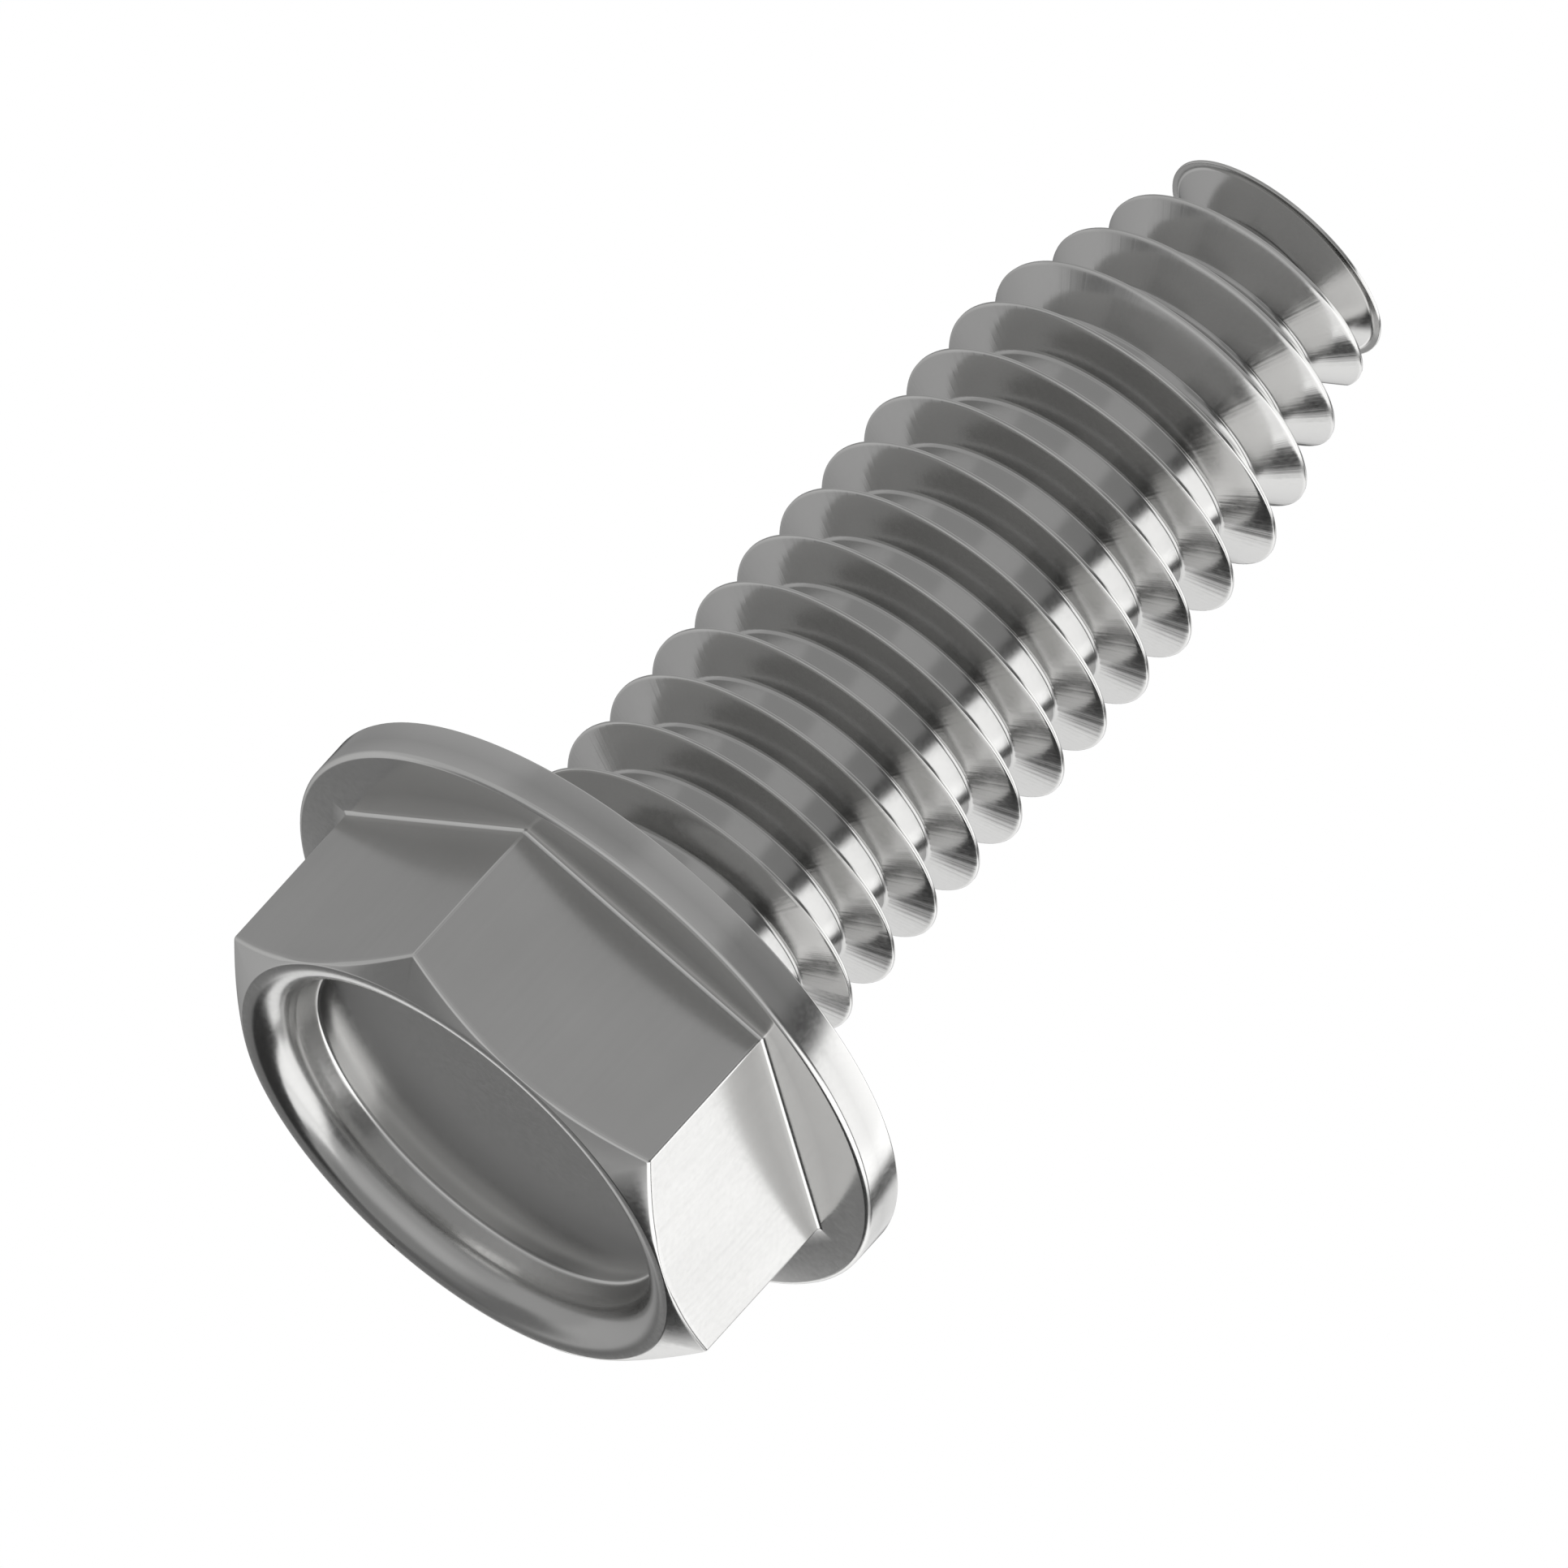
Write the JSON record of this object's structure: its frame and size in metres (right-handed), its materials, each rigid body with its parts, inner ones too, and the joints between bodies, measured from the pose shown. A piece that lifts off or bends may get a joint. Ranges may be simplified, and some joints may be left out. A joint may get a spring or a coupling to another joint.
{
  "type": "thread-forming screw",
  "caption": "Screw with a recessed hexagon head, a washer flange and a right-hand thread that forms its own mating thread, on a shank with a tapered blunt point.",
  "frame": {"origin": "on the screw's axis, in the plane of the flange's bearing face", "axes": "+Z along the axis from the head to the point, +X through a corner of the hexagon"},
  "size_m": [0.0107, 0.0106, 0.0194],
  "materials": {
    "steel": "bright, smooth plated steel"
  },
  "bodies": {
    "root": {"screw": "steel"}
  },
  "joints": []
}
